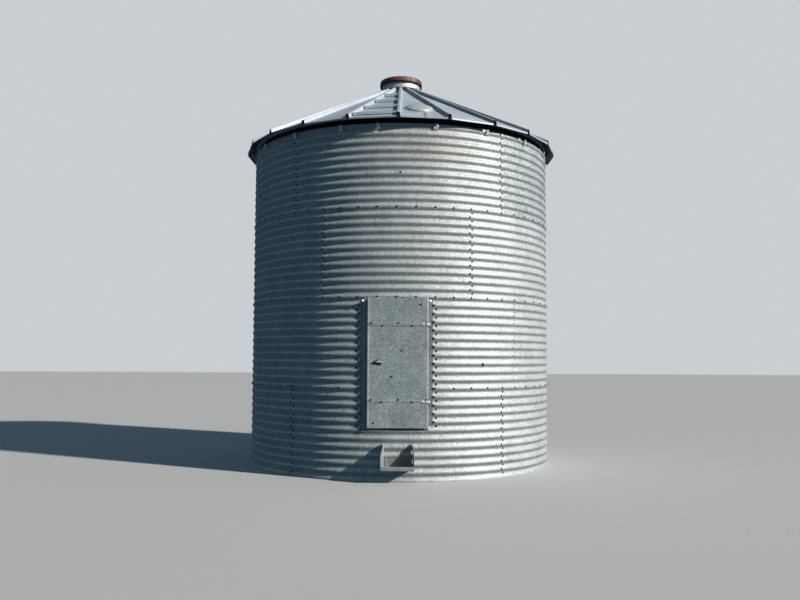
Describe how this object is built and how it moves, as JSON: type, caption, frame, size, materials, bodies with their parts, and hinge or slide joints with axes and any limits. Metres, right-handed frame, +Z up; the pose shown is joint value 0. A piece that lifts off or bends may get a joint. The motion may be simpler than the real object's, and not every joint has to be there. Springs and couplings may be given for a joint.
{
  "type": "grain silo",
  "caption": "Round corrugated steel grain bin with a ribbed cone roof, filling lid, walk-in door and unloading boot.",
  "frame": {"origin": "middle of the floor's underside, on the bin's axis at ground level", "axes": "+Z up, the door faces -Y"},
  "size_m": [4.4914, 4.6018, 5.676],
  "materials": {
    "wall_sheet": "galvanised, weathered, light spangle",
    "roof_sheet": "galvanised, weathered",
    "door_sheet": "galvanised, dull grey spangle",
    "frame_steel": "galvanised angle, some rust at the hinges",
    "lid_paint": "red-brown, rusty and chalky",
    "latch_iron": "dark, rusty",
    "floor_sheet": "galvanised, dusty"
  },
  "bodies": {
    "bin": {"bin_floor": "floor_sheet", "boot_frame": "frame_steel", "boot_gate": "frame_steel", "door_frame": "frame_steel", "eave_ring": "roof_sheet", "roof_collar": "roof_sheet", "roof_collar_flange": "roof_sheet", "roof_lid": "lid_paint", "roof_lid_rim": "lid_paint", "roof_panels_01": "roof_sheet", "roof_panels_02": "roof_sheet", "roof_panels_03": "roof_sheet", "roof_panels_04": "roof_sheet", "roof_panels_05": "roof_sheet", "roof_panels_06": "roof_sheet", "roof_panels_07": "roof_sheet", "roof_panels_08": "roof_sheet", "roof_panels_09": "roof_sheet", "roof_panels_10": "roof_sheet", "roof_panels_11": "roof_sheet", "roof_peak_ring": "roof_sheet", "roof_step_1": "roof_sheet", "roof_step_2": "roof_sheet", "roof_step_3": "roof_sheet", "roof_step_4": "roof_sheet", "roof_vent_hood": "roof_sheet", "wall_ring1_below_door": "wall_sheet", "wall_ring1_left_of_door": "wall_sheet", "wall_ring1_right_of_door": "wall_sheet", "wall_ring1_sheet2": "wall_sheet", "wall_ring1_sheet3": "wall_sheet", "wall_ring1_sheet4": "wall_sheet", "wall_ring1_sheet5": "wall_sheet", "wall_ring2_left_of_door": "wall_sheet", "wall_ring2_right_of_door": "wall_sheet", "wall_ring2_sheet2": "wall_sheet", "wall_ring2_sheet3": "wall_sheet", "wall_ring2_sheet4": "wall_sheet", "wall_ring2_sheet5": "wall_sheet", "wall_ring3_sheet1": "wall_sheet", "wall_ring3_sheet2": "wall_sheet", "wall_ring3_sheet3": "wall_sheet", "wall_ring3_sheet4": "wall_sheet", "wall_ring3_sheet5": "wall_sheet", "wall_ring4_sheet1": "wall_sheet", "wall_ring4_sheet2": "wall_sheet", "wall_ring4_sheet3": "wall_sheet", "wall_ring4_sheet4": "wall_sheet", "wall_ring4_sheet5": "wall_sheet"},
    "door": {"door_leaf": "door_sheet", "door_latch": "latch_iron", "hinge_strap_lower": "frame_steel", "hinge_strap_upper": "frame_steel"}
  },
  "joints": [
    {"name": "door_hinge", "type": "hinge", "parent": "bin", "child": "door", "pos_m": [0.361, -2.132, 1.44], "axis": [0, 0, 1], "range_deg": [0, 120]}
  ]
}
